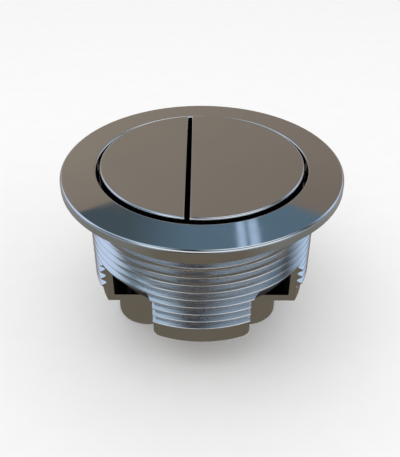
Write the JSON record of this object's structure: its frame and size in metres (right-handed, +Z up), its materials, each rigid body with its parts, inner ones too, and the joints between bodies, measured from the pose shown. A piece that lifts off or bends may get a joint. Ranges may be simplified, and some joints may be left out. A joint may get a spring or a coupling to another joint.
{
  "type": "push button cistern actuator",
  "caption": "Round chromed dual flush push button for a cistern lid, with a threaded skirt below its flange and sprung buttons that press push rods.",
  "frame": {"origin": "on the thread's axis in the plane of the flange's underside, where the button sits on the cistern lid", "axes": "+Z up along the thread's axis, out of the lid; -X towards the small button, +X towards the large one; -Y is the picture's front"},
  "size_m": [0.073, 0.073, 0.0498],
  "materials": {
    "plated_plastic": "bright chrome plating on moulded plastic",
    "black_plastic": "black moulded plastic",
    "spring_steel": "drawn stainless spring wire",
    "clip_steel": "stamped stainless strip",
    "white_acetal": "natural moulded acetal",
    "washer_rubber": "black rubber",
    "insert_brass": "turned brass"
  },
  "bodies": {
    "body": {"bezel_body": "plated_plastic", "small_guide_bush": "white_acetal", "small_return_spring": "spring_steel", "large_guide_bush": "white_acetal", "large_return_spring": "spring_steel"},
    "small_button": {"small_button_cap": "plated_plastic", "small_plunger": "black_plastic", "small_stem": "black_plastic", "small_stop_washer": "washer_rubber", "small_stem_clip": "clip_steel", "small_rod_insert": "insert_brass"},
    "large_button": {"large_button_cap": "plated_plastic", "large_plunger": "black_plastic", "large_stem": "black_plastic", "large_stop_washer": "washer_rubber", "large_stem_clip": "clip_steel", "large_rod_insert": "insert_brass"}
  },
  "joints": [
    {"name": "small_press", "type": "slide", "parent": "body", "child": "small_button", "axis": [0, 0, -1], "range_m": [0, 0.007], "stiffness_N_per_m": 620, "springref_m": -0.00645, "deforming": ["small_return_spring"]},
    {"name": "large_press", "type": "slide", "parent": "body", "child": "large_button", "axis": [0, 0, -1], "range_m": [0, 0.007], "stiffness_N_per_m": 620, "springref_m": -0.00645, "deforming": ["large_return_spring"]}
  ]
}
